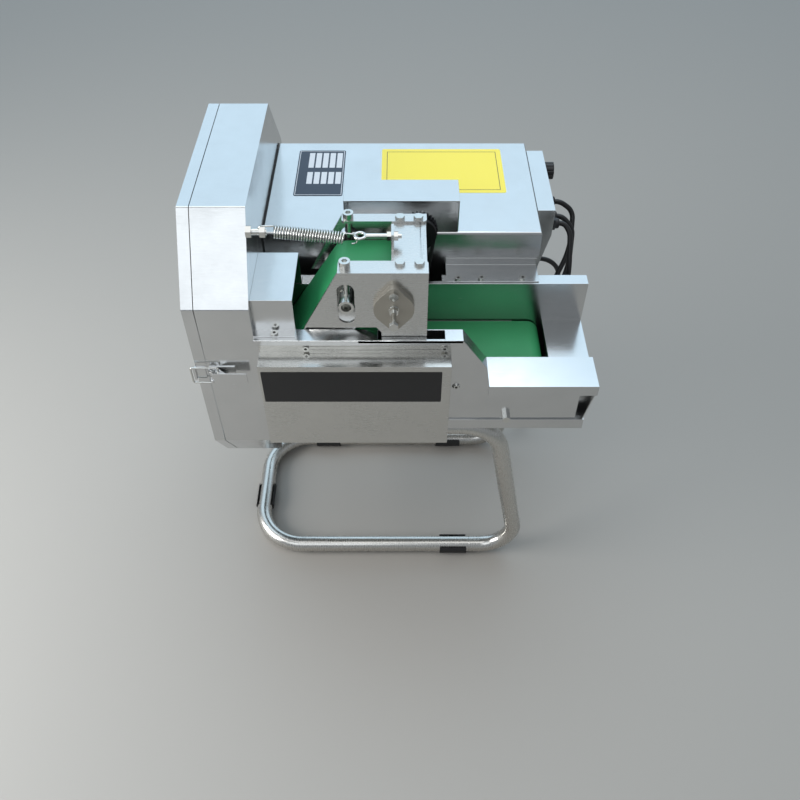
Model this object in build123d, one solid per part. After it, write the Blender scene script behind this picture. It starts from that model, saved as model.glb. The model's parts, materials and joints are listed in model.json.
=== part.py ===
from build123d import *
import os
from math import atan2, cos, degrees, pi, radians, sin, tan

# A belt-fed vegetable cutting machine on a bent-tube stand.  Millimetres.
# X runs from the knife housing towards the feed end, Y from the front to the
# back, Z up from the floor.  Every place below is measured from the front
# floor bar of the stand; the finished model is moved to its own origin, the
# middle of its footprint, as each piece is saved.

# Stock and fits
sheet = 1.5                  # covers and trough walls
plate = 3.0                  # press side plates
running = 0.05               # radial play of a shaft in its bearing
roller_gap = 0.3             # a belt's inside face to its roller
belt_t = 2.0                 # conveyor belting
bed_gap = 0.05               # bed plate to the belt's underside

# Stand: round tube bent into a floor loop and two uprights
tube_d = 25.0
tube_wall = 1.5
pad_t = 2.5                  # rubber under the floor bars
stand_depth = 225.0          # front floor bar to rear floor bar
stand_left = -230.0          # left floor bar
stand_joint_x = 112.0        # where the floor loop meets the uprights
stand_corner_r = 70.0
stand_elbow_x = 189.4        # where an upright's line meets the floor bar's
stand_lean_top_x = 132.4     # where it meets the top bar's line
stand_elbow_r = 50.0
stand_top_r = 60.0
stand_bar_end = -165.0       # left end of the top bars
pad_len = 43.0
pad_foot_w = 14.0
saddle_len = 24.0
saddle_reach = 29.0
saddle_t = 2.0
saddle_at = (-110.0, 50.0)

# Chassis tray and feed trough
tray_z = 327.5               # underside of the tray, carried by the stand
tray_t = 2.0
tray_rim = 16.0
tray_front = -16.0
tray_back = 347.0
trough_end = 242.0
front_y = -14.0              # outer face of the front wall
front_t = 2.0
inner_y = 3.5                # belt-side face of the inner front wall
rear_y = 89.0                # belt-side face of the rear wall
throat_height = 62.0         # tall walls above the bed
throat_end = 76.0            # right end of the tall front wall
ledge_height = 15.0          # low feed ledge above the bed
ledge_start = 108.0
ledge_front = -48.0
ledge_lip = 16.0
rear_flange = 107.0          # back edge of the rear wall's top flange
infeed_x = 190.0             # left edge of the steel infeed plate
gusset_t = 1.5

# Belts and rollers of the bed
bed_height = 100.5           # lower belt's working face above the tray's underside
belt_front = 5.0
belt_back = 87.0
drive_x = -150.0
drive_r = 19.2
drive_shaft_r = 6.0
tail_x = 168.0
tail_r = 14.7
tail_axle_r = 5.0
bush_r = 11.0

# Cross shaft: it drives both belts and is the press's pivot
pivot_x = 5.0
pivot_rise = 37.5            # above the tray's underside
cross_r = 8.0
cross_front = -36.0
cross_hub_r = 18.0
cross_front_r = 24.0         # feed pulley on the cross shaft
lower_pulley_r = 16.0
cross_rear_r = 16.0          # press pulley on the cross shaft
idler_pulley_r = 22.0
pulley_w = 8.0
vbelt_h = 4.5
vbelt_w = 5.5

# Press: two side plates that carry the upper belt and pivot on the cross shaft
press_front = -11.5          # outer face of the front plate
press_back = 101.5           # outer face of the rear plate
press_head = 47.0            # top of the press above its drive roller's axis
leg_w = 54.0
leg_r = 27.0
press_left_top = -70.0
press_left_low = -113.0
press_clear = 17.0           # heads of the side plates above the tall walls
step_x = -28.0
press_flange_front = 22.5
press_flange_rear = 15.5
top_drive_x = -7.0
top_drive_rise = 51.0        # drive roller's axis above the tall walls
top_r = 18.7
idler_x = -62.0
idler_drop = 1.0             # below the drive roller's axis
idler_axle_r = 9.0
slot_w = 20.0
slot_below = 26.0            # the adjuster's slot, from the idler's axis
slot_above = 32.0
nose_x = -130.0
nose_lift = 17.0             # nose roller's axis above the bed
nose_r = 11.7
nose_axle_r = 5.0
upper_belt_front = 6.6
upper_belt_back = 85.4
arm_t = 2.0
arm_gap = 0.5                # inner wall to the nose arm

# Gear pair that turns the upper belt backwards
gear_module = 1.5
gear_teeth = 30
pinion_teeth = 14
gear_w = 10.0
gear_y = 111.0
gear_angle = 24.5            # line of centres above the horizontal
pressure_angle = 25.0
backlash = 0.2
stub_r = 6.0

# Knife housing and its door
door_x = -255.0              # outer face of the door
door_depth = 14.0
door_gap = 1.0
housing_right = -176.0
housing_wall = 2.0
knife_y = 181.0
knife_drop = 5.0             # shaft below the bed's working face
housing_half = 191.0
housing_half_h = 202.0
top_half = 119.0
bottom_half = 146.0
shoulder_rise = 109.0        # upper and lower bends of the sides, from the shaft
hip_drop = 128.0
corner_r = 3.0
mouth_height = 102.0         # above the bed

# Knife
blade_r = 182.0
blade_t = 2.5
blade_gap = 1.0
disc_r = 112.0
disc_t = 4.0
knife_shaft_r = 10.0
knife_pulley_r = 45.0
motor_pulley_r = 30.0
knife_belt_x = -84.0
bearing_len = 70.0
bearing_r = 31.0
motor_y = 268.0
motor_drop = 28.0            # knife motor's axis below the knife shaft
motor_r = 56.0
motor_left = -48.0
motor_len = 148.0
motor_nose = 12.0            # its front cap, and the shaft's end beyond

# Motor box
box_front = 128.0
box_back = 345.0
box_right = 181.0
box_height = 213.5           # above the tray's underside
hood_left = -70.0
hood_right = 74.0
hood_back = 178.0
hood_rise = 45.0             # above the upper drive roller's axis

# Front drive cover
cover_left = -171.0
cover_right = 62.0
cover_front = -41.0
cover_drop = 20.0            # folded top of the cover below the tall walls
flange_drop = 9.0
flange_screw_x = (-114.0, 54.0)

# Mouth cover
mouth_right = -126.0
mouth_cover_rise = 8.0       # above the mouth

# Door hinge and latch
hinge_back = 5.0             # hinge pin behind the housing's back face
knuckle_r = 4.5
bail_wire_r = 1.2
bail_reach = 5.0             # bail's end bar to the left of the door's face
shaft_bolt_reach = 34.0      # end bolt of the upper drive roller
bolt_head = 4.0

# Mains cord: it drops behind the trough and lies coiled behind the stand
cord_r = 3.5
cord_low = 3.6               # centre line of a cord on the floor
coil_x = 90.0
coil_y = 326.0
coil_r = 42.0                # middle of the turns
coil_stub = 28.0             # the ends run straight for this far beside the ring

# Control box on the right of the motor box
control_right = 204.0
control_front = 178.0
control_back = 325.0
control_height = 100.0
control_drop = 1.0           # its top below the motor box's
control_foot_x = 190.0
control_bend = 40.0          # slanted foot begins this far below the top

tube_r = tube_d / 2
bar_z = pad_t + tube_r
bar_top_z = tray_z - tube_r
tray_floor = tray_z + tray_t
bed_top = tray_z + bed_height
throat_z = bed_top + throat_height
ledge_z = bed_top + ledge_height
pivot_z = tray_z + pivot_rise
top_drive_z = throat_z + top_drive_rise
idler_z = top_drive_z - idler_drop
slot_low = idler_z - slot_below
slot_high = idler_z + slot_above
press_top = top_drive_z + press_head
press_low = throat_z + press_clear
nose_z = bed_top + nose_lift
knife_z = bed_top - knife_drop
motor_z = knife_z - motor_drop
housing_top = knife_z + housing_half_h
housing_bottom = knife_z - housing_half_h
shoulder_z = knife_z + shoulder_rise
hip_z = knife_z - hip_drop
mouth_top = bed_top + mouth_height
mouth_cover_top = mouth_top + mouth_cover_rise
box_top = tray_z + box_height
hood_top = top_drive_z + hood_rise
cover_top = throat_z - cover_drop
cover_flange = throat_z - flange_drop
control_top = box_top - control_drop
control_low = control_top - control_height
control_bend_z = control_top - control_bend
belt_mid = (belt_front + belt_back) / 2
drive_z = bed_top - belt_t - roller_gap - drive_r
tail_z = bed_top - belt_t - roller_gap - tail_r
gear_distance = gear_module * (gear_teeth + pinion_teeth) / 2
gear_x = top_drive_x + gear_distance * cos(radians(gear_angle))
gear_z = top_drive_z + gear_distance * sin(radians(gear_angle))
housing_left = door_x + door_depth + door_gap
housing_front = knife_y - housing_half
housing_back = knife_y + housing_half
press_mid = (press_front + press_back) / 2

# The origin stands on the floor under the middle of the machine's own box.
machine_left = door_x - bail_reach - bail_wire_r
machine_right = trough_end + tray_t
machine_front = press_front - shaft_bolt_reach - bolt_head
machine_back = housing_back + hinge_back + knuckle_r
origin_x = (machine_left + machine_right) / 2
origin_y = (machine_front + machine_back) / 2
to_origin = Pos(-origin_x, -origin_y, 0)

os.makedirs("parts", exist_ok=True)


def save(node, *solids):
    """Write one named piece, or a group of like pieces, in the model's frame."""
    moved = [to_origin * solid for solid in solids]
    export_step(moved[0] if len(moved) == 1 else Compound(children=moved), f"parts/{node}.step")


def block(x0, x1, y0, y1, z0, z1):
    return Pos((x0 + x1) / 2, (y0 + y1) / 2, (z0 + z1) / 2) * Box(x1 - x0, y1 - y0, z1 - z0)


def along_x(outline, x0, x1):
    """Extrude an outline drawn in (y, z) from x0 to x1."""
    return extrude(Plane.YZ.offset(x0) * outline, amount=x1 - x0, dir=(1, 0, 0))


def along_y(outline, y0, y1):
    """Extrude an outline drawn in (x, z) from y0 to y1."""
    return extrude(Plane.XZ.offset(-y0) * outline, amount=y1 - y0, dir=(0, 1, 0))


def along_z(outline, z0, z1):
    return extrude(Plane.XY.offset(z0) * outline, amount=z1 - z0, dir=(0, 0, 1))


def rod_x(x0, x1, y, z, r):
    return along_x(Pos(y, z) * Circle(r), x0, x1)


def rod_y(y0, y1, x, z, r):
    return along_y(Pos(x, z) * Circle(r), y0, y1)


def rod_z(z0, z1, x, y, r):
    return along_z(Pos(x, y) * Circle(r), z0, z1)


def bush_y(y0, y1, x, z, bore_r, outer_r):
    return rod_y(y0, y1, x, z, outer_r) - rod_y(y0, y1, x, z, bore_r)


def outline(*points):
    return Polygon(*points, align=None)


def screw(at, towards, d, shank, head_r, head_h, sides=0):
    """A screw whose head stands on the point `at` and looks `towards`."""
    seat = Plane(origin=at, z_dir=towards)
    head = RegularPolygon(head_r, sides) if sides else Circle(head_r)
    solid = extrude(seat * head, amount=head_h, dir=towards)
    down = tuple(-v for v in towards)
    return solid + extrude(seat * Circle(d / 2), amount=shank, dir=down)


def nut(at, towards, d, flats_r, height):
    seat = Plane(origin=at, z_dir=towards)
    return extrude(seat * (RegularPolygon(flats_r, 6) - Circle(d / 2)), amount=height, dir=towards)


# Stand

def tube(path):
    ring = Circle(tube_r) - Circle(tube_r - tube_wall)
    return sweep(Plane(origin=path @ 0, z_dir=path % 0) * ring, path=path)


def floor_loop():
    corners = [(stand_joint_x, 0), (stand_left, 0), (stand_left, stand_depth), (stand_joint_x, stand_depth)]
    return tube(FilletPolyline(*[(x, y, bar_z) for x, y in corners], radius=stand_corner_r))


def upright(y):
    points = [(stand_joint_x, y, bar_z), (stand_elbow_x, y, bar_z),
              (stand_lean_top_x, y, bar_top_z), (stand_bar_end, y, bar_top_z)]
    return tube(FilletPolyline(*points, radius=[stand_elbow_r, stand_top_r]))


def foot_pad(x, y, along):
    """A rubber shoe wrapped round the lower part of a floor bar, with a flat foot."""
    wrap = Pos(0, bar_z) * (Circle(tube_r + pad_t) - Circle(tube_r))
    wrap -= Pos(0, bar_z + tube_r) * Rectangle(2 * tube_r, tube_d * 0.8)
    foot = Pos(0, pad_t) * Rectangle(pad_foot_w, 2 * pad_t)
    shoe = extrude(Plane.YZ * (wrap + foot - Pos(0, bar_z) * Circle(tube_r)), amount=pad_len / 2, both=True)
    return Pos(x, y, 0) * (shoe if along == "x" else Rot(0, 0, 90) * shoe)


def saddle(x, y, inward):
    """A strap that hugs a top bar from below, with one flange bolted up to the tray."""
    side_mid = Pos(0, (bar_top_z + tray_z) / 2)
    strap = Pos(0, bar_top_z) * Circle(tube_r + saddle_t)
    strap += side_mid * Rectangle(2 * (tube_r + saddle_t), tray_z - bar_top_z)
    strap += Pos(inward * saddle_reach / 2, tray_z - saddle_t / 2) * Rectangle(saddle_reach, saddle_t)
    strap -= Pos(0, bar_top_z) * Circle(tube_r) + side_mid * Rectangle(2 * tube_r, tray_z - bar_top_z)
    strap -= Pos(0, tray_z + tube_r / 2) * Rectangle(2 * (tube_r + saddle_t), tube_r)
    return Pos(x, y, 0) * extrude(Plane.YZ * strap, amount=saddle_len / 2, both=True)


save("floor_loop", floor_loop())
save("uprights", upright(0), upright(stand_depth))
pads = [(stand_joint_x - 4 - pad_len / 2, 0, "x"), (stand_joint_x - 4 - pad_len / 2, stand_depth, "x"),
        (stand_left + stand_corner_r + 30, stand_depth, "x"), (stand_left, 96.0, "y")]
save("foot_pads", *[foot_pad(*pad) for pad in pads])
saddle_places = [(x, y, inward) for x in saddle_at for y, inward in ((0, 1), (stand_depth, -1))]
saddle_bolts = []
for x, y, inward in saddle_places:
    seat = (x, y + inward * (saddle_reach - 7), tray_z - saddle_t)
    saddle_bolts.append(screw(seat, (0, 0, -1), 6, saddle_t + tray_t, 5.5, 4, 6))
save("stand_saddles", *[saddle(*place) - bolt for place, bolt in zip(saddle_places, saddle_bolts)])


# Chassis tray and trough

def chassis_tray():
    right = machine_right
    back = rear_flange + 2
    foot = outline((housing_right, tray_front), (right, tray_front), (right, back),
                   (box_right + 2, back), (box_right + 2, tray_back), (housing_right, tray_back))
    tray = along_z(foot, tray_z, tray_floor + tray_rim)
    tray -= along_z(offset(foot, -2, kind=Kind.INTERSECTION), tray_floor, tray_floor + tray_rim)
    tray -= block(housing_right, housing_right + 2, tray_front + 2, tray_back - 2,
                  tray_floor, tray_floor + tray_rim)
    for bolt in saddle_bolts:
        tray -= bolt
    return tray


leg_notch_left = pivot_x - leg_w / 2 - 5
leg_notch_right = pivot_x + leg_w / 2 + 22
shaft_holes = [(drive_x, drive_z, drive_shaft_r + 1), (tail_x, tail_z, tail_axle_r + 1),
               (pivot_x, pivot_z, cross_r + 2)]


def throat_front_wall():
    """Inner front wall with its folded top: flange, slope and low shoulder."""
    left = housing_right
    right = trough_end - gusset_t
    top = [(left, tray_floor), (left, throat_z - sheet), (throat_end, throat_z - sheet),
           (ledge_start, ledge_z - sheet), (right, ledge_z - sheet), (right, tray_floor)]
    wall = along_y(outline(*top), inner_y - sheet, inner_y)
    wall += block(left, throat_end, front_y - 2.7, inner_y, throat_z - sheet, throat_z)
    wall += block(left, throat_end, front_y - 2.7, front_y - 1.2, throat_z - 8, throat_z)
    slope = outline((throat_end, throat_z - sheet), (throat_end, throat_z),
                    (ledge_start, ledge_z), (ledge_start, ledge_z - sheet))
    wall += along_y(slope, front_y - 2.7, inner_y)
    wall -= block(leg_notch_left, leg_notch_right, front_y - 1.2, inner_y - sheet,
                  throat_z - 2 * sheet, throat_z + 1)
    for x, z, r in shaft_holes:
        wall -= rod_y(inner_y - 2 * sheet, inner_y + 1, x, z, r)
    return wall


def trough_front_wall():
    """Outer front wall, behind the drive cover and under the feed ledge."""
    wall = block(housing_right, throat_end, front_y, front_y + front_t, tray_floor, throat_z - sheet)
    low = outline((throat_end, tray_floor), (throat_end, throat_z - sheet), (ledge_start, ledge_z - sheet),
                  (trough_end - 10, ledge_z - sheet), (trough_end - 10, tray_floor))
    wall += along_y(low, front_y, front_y + front_t)
    for x, z, r in (shaft_holes[0], shaft_holes[2]):
        wall -= rod_y(front_y - 1, front_y + front_t + 1, x, z, r)
    return wall


def feed_ledge():
    ledge = block(ledge_start, trough_end, ledge_front, inner_y, ledge_z - sheet, ledge_z)
    ledge += block(ledge_start, trough_end, ledge_front, ledge_front + sheet, ledge_z - ledge_lip, ledge_z)
    hem = block(ledge_start, trough_end, ledge_front + sheet, ledge_front + 2 * sheet,
                ledge_z - ledge_lip, ledge_z - ledge_lip / 2)
    return ledge + hem


def rear_wall():
    left = housing_right
    wall = block(left, trough_end, rear_y, rear_y + sheet, tray_floor, throat_z)
    wall += block(left, trough_end, rear_y, rear_flange, throat_z - sheet, throat_z)
    wall += block(left, trough_end, rear_flange - sheet, rear_flange, throat_z - 14, throat_z)
    notch_y = press_back - 2 * plate - 1
    wall -= block(leg_notch_left, leg_notch_right, notch_y, rear_flange + 1, throat_z - 20, throat_z + 1)
    for x, z, r in shaft_holes:
        wall -= rod_y(rear_y - 1, rear_y + sheet + 1, x, z, r)
    return wall


def end_plate():
    """Closes the trough's right end and props the feed ledge with a gusset."""
    rim_top = tray_floor + tray_rim
    face = outline((front_y, rim_top), (front_y, tray_floor), (rear_y, tray_floor),
                   (rear_y, bed_top - sheet), (inner_y, bed_top - sheet), (inner_y, ledge_z - sheet),
                   (ledge_front + 2 * sheet, ledge_z - sheet), (ledge_front + 2 * sheet, ledge_z - 12),
                   (tray_front, rim_top))
    return along_x(face, trough_end - gusset_t, trough_end)


def infeed_plate():
    top = block(infeed_x, trough_end, inner_y, rear_y, bed_top - sheet, bed_top)
    return top + block(infeed_x, infeed_x + sheet, inner_y, rear_y, bed_top - 14, bed_top)


save("chassis_tray", chassis_tray())
save("throat_front_wall", throat_front_wall())
save("trough_front_wall", trough_front_wall())
save("feed_ledge", feed_ledge(), end_plate())
save("rear_wall", rear_wall())
slider_top = bed_top - belt_t - bed_gap
bed = block(drive_x + 22, tail_x - 18, inner_y, rear_y, slider_top - sheet, slider_top)
ledger = block(housing_right, drive_x - 13, inner_y, rear_y, bed_top - 3, bed_top - 0.5)
save("bed_plates", bed, ledger, infeed_plate())


# Belts and their rollers

def hull_of(wheels, grow):
    """The tight loop round wheels given as (x, z, radius), grown outwards."""
    edges = []
    for x, z, r in wheels:
        edges += (Pos(x, z) * Circle(r + grow)).edges()
    return make_hull(edges)


def belt(wheels, y0, y1, t):
    return along_y(hull_of(wheels, t) - hull_of(wheels, 0), y0, y1)


bed_wheels = [(drive_x, drive_z, drive_r + roller_gap), (tail_x, tail_z, tail_r + roller_gap)]
press_wheels = [(top_drive_x, top_drive_z, top_r + roller_gap), (idler_x, idler_z, top_r + roller_gap),
                (nose_x, nose_z, nose_r + roller_gap)]
save("lower_belt", belt(bed_wheels, belt_front, belt_back, belt_t))
save("upper_belt", belt(press_wheels, upper_belt_front, upper_belt_back, belt_t))


def grooved_pulley(y0, x, z, bore_r, r):
    """A V pulley about an axis along Y, `pulley_w` wide from y0."""
    half = pulley_w / 2
    groove = outline((r + 1, -vbelt_w / 2 - 0.5), (r - vbelt_h, -vbelt_w / 3 - 0.3),
                     (r - vbelt_h, vbelt_w / 3 + 0.3), (r + 1, vbelt_w / 2 + 0.5))
    rim = outline((bore_r, -half), (r, -half), (r, half), (bore_r, half)) - groove
    wheel = revolve(Plane.XY * rim, axis=Axis.Y)
    return Pos(x, y0 + half, z) * wheel


def v_belt(wheels, y_mid):
    """A wedge belt: its inside is narrower than its back."""
    inner = [(x, z, r - vbelt_h + 0.4) for x, z, r in wheels]
    step = (vbelt_h - 0.4) / 2
    low = along_y(hull_of(inner, step) - hull_of(inner, 0), y_mid - vbelt_w / 3, y_mid + vbelt_w / 3)
    half = vbelt_w / 2 - 0.4
    high = along_y(hull_of(inner, 2 * step) - hull_of(inner, step), y_mid - half, y_mid + half)
    return low + high


front_pulley_y = cross_front + 4
rear_pulley_y = gear_y - pulley_w
lower_roller = rod_y(belt_front + 1, belt_back - 1, drive_x, drive_z, drive_r)
lower_roller += rod_y(cross_front, rear_y + 14, drive_x, drive_z, drive_shaft_r)
lower_pulley = grooved_pulley(front_pulley_y, drive_x, drive_z, drive_shaft_r, lower_pulley_r)
save("lower_drive_roller", lower_roller, lower_pulley)
tail = rod_y(belt_front + 1, belt_back - 1, tail_x, tail_z, tail_r)
tail += rod_y(front_y + front_t, rear_y + 14, tail_x, tail_z, tail_axle_r)
save("tail_roller", tail)
bearing_seats = [(drive_x, drive_z, drive_shaft_r), (tail_x, tail_z, tail_axle_r)]
trough_bushes = []
for x, z, r in bearing_seats:
    trough_bushes.append(bush_y(front_y + front_t, inner_y - sheet, x, z, r + running, bush_r))
    trough_bushes.append(bush_y(rear_y + sheet, rear_y + 13, x, z, r + running, bush_r))
feed_wheels = [(drive_x, drive_z, lower_pulley_r), (pivot_x, pivot_z, cross_front_r)]
save("feed_drive_belt", v_belt(feed_wheels, front_pulley_y + pulley_w / 2))

# Cross shaft, its two flanged bearings and pulleys
cross_wheels = [grooved_pulley(y, pivot_x, pivot_z, cross_r, r)
                for y, r in ((front_pulley_y, cross_front_r), (rear_pulley_y, cross_rear_r))]
save("cross_shaft", rod_y(cross_front, box_front + 22, pivot_x, pivot_z, cross_r), *cross_wheels)


def flange_bearing(x, z, y0, y1, bore_r, half_w, half_h, ear_r):
    """A two-bolt rhombic flange with a round hub in the middle."""
    body = hull_of([(x, z, half_w), (x, z + half_h - ear_r, ear_r), (x, z - half_h + ear_r, ear_r)], 0)
    return along_y(body, y0, y1) - rod_y(y0, y1, x, z, bore_r)


shaft_bearings = [bush_y(front_y - 6, front_y, pivot_x, pivot_z, cross_r + running, cross_hub_r),
                  bush_y(rear_y + sheet, rear_y + 7, pivot_x, pivot_z, cross_r + running, cross_hub_r)]
save("shaft_bearings", *shaft_bearings, *trough_bushes)

# Press

def press_side(y0, y1, flange_y0, flange_y1):
    """One side plate: head, slot for the belt adjuster and leg down to the pivot."""
    left = pivot_x - leg_w / 2
    right = pivot_x + leg_w / 2
    head = outline((press_left_top, press_top), (right, press_top), (right, pivot_z), (left, pivot_z),
                   (left, press_low - 8), (step_x, press_low), (press_left_low, press_low))
    shape = head + Pos(pivot_x, pivot_z) * Circle(leg_r)
    slot_mid = (slot_low + slot_high) / 2
    shape -= Pos(idler_x, slot_mid) * Rot(0, 0, 90) * SlotOverall(slot_high - slot_low, slot_w)
    shape -= Pos(top_drive_x, top_drive_z) * Circle(drive_shaft_r + 1)
    shape -= Pos(pivot_x, pivot_z) * Circle(cross_r + 3)
    side = along_y(shape, y0, y1)
    flange = Pos((press_left_top + right) / 2, (flange_y0 + flange_y1) / 2)
    flange *= RectangleRounded(right - press_left_top, flange_y1 - flange_y0, 4)
    return side + along_z(flange, press_top - plate, press_top)


front_side = press_side(press_front, press_front + plate, press_front, press_front + press_flange_front)
rear_side = press_side(press_back - plate, press_back, press_back - press_flange_rear, press_back)
rear_side -= rod_y(press_back - 2 * plate, press_back + 1, gear_x, gear_z, stub_r)
bolt_x = (0.0, 22.0)
bolt_y = (5.0, 92.0)
adjust_y = (1.0, 93.0)
flange_holes = [(x, y, 3.0) for x in bolt_x for y in bolt_y] + [(idler_x, y, 4.0) for y in adjust_y]
cross_plate_top = press_top - plate
cross_left = -10.0
cross_right = 31.0
cross = block(cross_left, cross_right, press_front + plate, press_back - plate,
              cross_plate_top - plate, cross_plate_top)
tab_x = cross_left
eye_y = press_mid
eye_rise = 9.0               # eye bolt's axis above the press
eye_z = press_top + eye_rise
cross += block(tab_x, tab_x + plate, eye_y - 11, eye_y + 11, cross_plate_top, eye_z + 9)
for x, y, r in flange_holes:
    hole = rod_z(press_top - 3 * plate, press_top + 1, x, y, r)
    front_side -= hole
    rear_side -= hole
    cross -= hole
cross -= rod_x(tab_x - 1, tab_x + plate + 1, eye_y, eye_z, 3)
save("press_plate_front", front_side)
save("press_plate_rear", rear_side)
save("cross_plate", cross)
hexes = [screw((x, y, press_top), (0, 0, 1), 6, 12, 5.8, 4, 6) for x in bolt_x for y in bolt_y]
nuts = [nut((x, y, press_top - 2 * plate), (0, 0, -1), 6, 5.8, 5) for x in bolt_x for y in bolt_y]

# Belt adjuster: a fixed axle hung in the slots from two long socket screws
axle = rod_y(press_front - 3, press_back + 1.5, idler_x, idler_z, idler_axle_r)
axle -= rod_y(press_front - 4, press_front + 12, idler_x, idler_z, 6)
for y in adjust_y:
    axle -= rod_z(idler_z, idler_z + idler_axle_r + 1, idler_x, y, 4)
caps = []
for y in adjust_y:
    cap = screw((idler_x, y, press_top), (0, 0, 1), 8, press_top - idler_z - 2, 6.5, 8)
    caps.append(cap - along_z(Pos(idler_x, y) * RegularPolygon(3.5, 6), press_top + 4, press_top + 8))
idler_roller = rod_y(upper_belt_front + 1, upper_belt_back - 1, idler_x, idler_z, top_r)
save("top_idler_roller", idler_roller - rod_y(0, 100, idler_x, idler_z, idler_axle_r + running))

# Nose of the press: two arms inside the throat walls, and their spacers
arm_front = inner_y + arm_gap
arm_back = rear_y - arm_gap - arm_t
spacer_at = ((-92.0, press_low + 8), (-40.0, press_low + 7))
arm_shape = hull_of([(nose_x, nose_z, 10)] + [(x, z, 9) for x, z in spacer_at], 0)
arms = []
for y in (arm_front, arm_back):
    arms.append(along_y(arm_shape, y, y + arm_t) - rod_y(y, y + arm_t, nose_x, nose_z, nose_axle_r))
spacers = [rod_y(press_front + plate, arm_front, x, z, 6) for x, z in spacer_at]
spacers += [rod_y(arm_back + arm_t, press_back - plate, x, z, 6) for x, z in spacer_at]
save("nose_frame", *arms, *spacers, rod_y(arm_front, arm_back + arm_t, nose_x, nose_z, nose_axle_r))
nose = rod_y(upper_belt_front + 1, upper_belt_back - 1, nose_x, nose_z, nose_r)
save("nose_roller", nose - rod_y(0, 100, nose_x, nose_z, nose_axle_r + running))

# Upper drive roller with its bearings, end bolt and pinion
hub_len = 8.0
top_roller = rod_y(upper_belt_front + 1.4, upper_belt_back - 1.4, top_drive_x, top_drive_z, top_r)
top_roller += rod_y(press_front - hub_len, gear_y + gear_w + 3, top_drive_x, top_drive_z, drive_shaft_r)
hub_front = press_front - hub_len
end_bolt = screw((top_drive_x, press_front - shaft_bolt_reach, top_drive_z), (0, -1, 0),
                 6, shaft_bolt_reach - hub_len, 5.8, bolt_head, 6)
end_bolt += nut((top_drive_x, hub_front, top_drive_z), (0, -1, 0), 6, 5.8, 5)
save("upper_drive_roller", top_roller, end_bolt)
roller_bore = drive_shaft_r + running
front_flange = flange_bearing(top_drive_x, top_drive_z, hub_front, press_front, roller_bore, 23.5, 31, 9)
rear_inner = press_back - plate
rear_hub = flange_bearing(top_drive_x, top_drive_z, rear_inner - hub_len, rear_inner,
                          roller_bore, 18, 28, 8)
flange_bolts = []
for side in (-1, 1):
    seat = (top_drive_x, hub_front, top_drive_z + side * 22)
    flange_bolts.append(screw(seat, (0, -1, 0), 6, hub_len, 5.8, 4, 6))
    front_flange -= flange_bolts[-1]
press_bushes = []
for y in (press_front, rear_inner):
    press_bushes.append(bush_y(y, y + plate, pivot_x, pivot_z, cross_r + running, cross_r + 3))
save("press_bearings", front_flange, rear_hub, *press_bushes)


def involute_gear(teeth, width, bore_r, phase):
    """A spur gear about +Z with true involute flanks, one tooth centred on `phase`."""
    pitch_r = gear_module * teeth / 2
    base_r = pitch_r * cos(radians(pressure_angle))
    tip_r = pitch_r + 0.9 * gear_module
    root_r = pitch_r - 1.25 * gear_module

    def roll(r):
        turn = ((max(r, base_r) / base_r) ** 2 - 1) ** 0.5
        return turn - atan2(turn, 1)

    half_tooth = pi / (2 * teeth) - backlash / (4 * pitch_r) + roll(pitch_r)
    flank = [root_r, base_r, (base_r + tip_r) / 2, tip_r]
    points = []
    for tooth in range(teeth):
        middle = 2 * pi * tooth / teeth + radians(phase)
        for r in flank:
            points.append((r * cos(middle - half_tooth + roll(r)), r * sin(middle - half_tooth + roll(r))))
        for r in reversed(flank):
            points.append((r * cos(middle + half_tooth - roll(r)), r * sin(middle + half_tooth - roll(r))))
    return extrude(outline(*points) - Circle(bore_r), amount=width, dir=(0, 0, 1))


def gear_at(teeth, x, z, bore_r, phase):
    """Stand a gear on the Y axis; its phase is measured from +X towards +Z."""
    face = Plane(origin=(x, gear_y + gear_w, z), x_dir=(1, 0, 0), z_dir=(0, -1, 0))
    return face.location * involute_gear(teeth, gear_w, bore_r, phase)


idler = gear_at(gear_teeth, gear_x, gear_z, stub_r + running, gear_angle + 180)
idler += grooved_pulley(rear_pulley_y, gear_x, gear_z, stub_r + running, idler_pulley_r)
save("idler_gear", idler)
pinion_phase = gear_angle + 180 / pinion_teeth
save("pinion", gear_at(pinion_teeth, top_drive_x, top_drive_z, drive_shaft_r, pinion_phase))
stub = rod_y(press_back - plate, gear_y + gear_w + 1, gear_x, gear_z, stub_r)
stub += rod_y(press_back - plate - 3, press_back - plate, gear_x, gear_z, 9)
stub += rod_y(gear_y + gear_w + 0.3, gear_y + gear_w + 2, gear_x, gear_z, 8.5)
save("press_axles", axle, stub)
press_drive_wheels = [(gear_x, gear_z, idler_pulley_r), (pivot_x, pivot_z, cross_rear_r)]
save("press_drive_belt", v_belt(press_drive_wheels, rear_pulley_y + pulley_w / 2))

# Spring and its two ends
eye_r = 6.0
eye_x = -46.0
eye = Pos(eye_x, eye_y, eye_z) * Torus(eye_r, 2)
eye += rod_x(eye_x + eye_r + 1, tab_x + 12, eye_y, eye_z, 3)
eye += nut((tab_x, eye_y, eye_z), (-1, 0, 0), 6, 5.8, 5)
eye += nut((tab_x + plate, eye_y, eye_z), (1, 0, 0), 6, 5.8, 5)
save("press_fasteners", *hexes, *nuts, *caps, *flange_bolts, eye)
stud_z = eye_z + 6
stud_len = 24.0
stud = rod_x(housing_right, housing_right + stud_len, eye_y, stud_z, 4)
for x in (housing_right, housing_right + stud_len - 8):
    stud += nut((x, eye_y, stud_z), (1, 0, 0), 8, 7.5, 6.5)
spring_left = housing_right + stud_len + 7
spring_right = eye_x - 19
wire_r = 1.0
spring_r = 8.0
coil = rod_x(spring_left, spring_right, eye_y, stud_z, spring_r)
coil -= rod_x(spring_left, spring_right, eye_y, stud_z, spring_r - 2 * wire_r)
spring_end_z = eye_z - 3
tilt = degrees(atan2(stud_z - spring_end_z, spring_right - spring_left))
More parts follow.
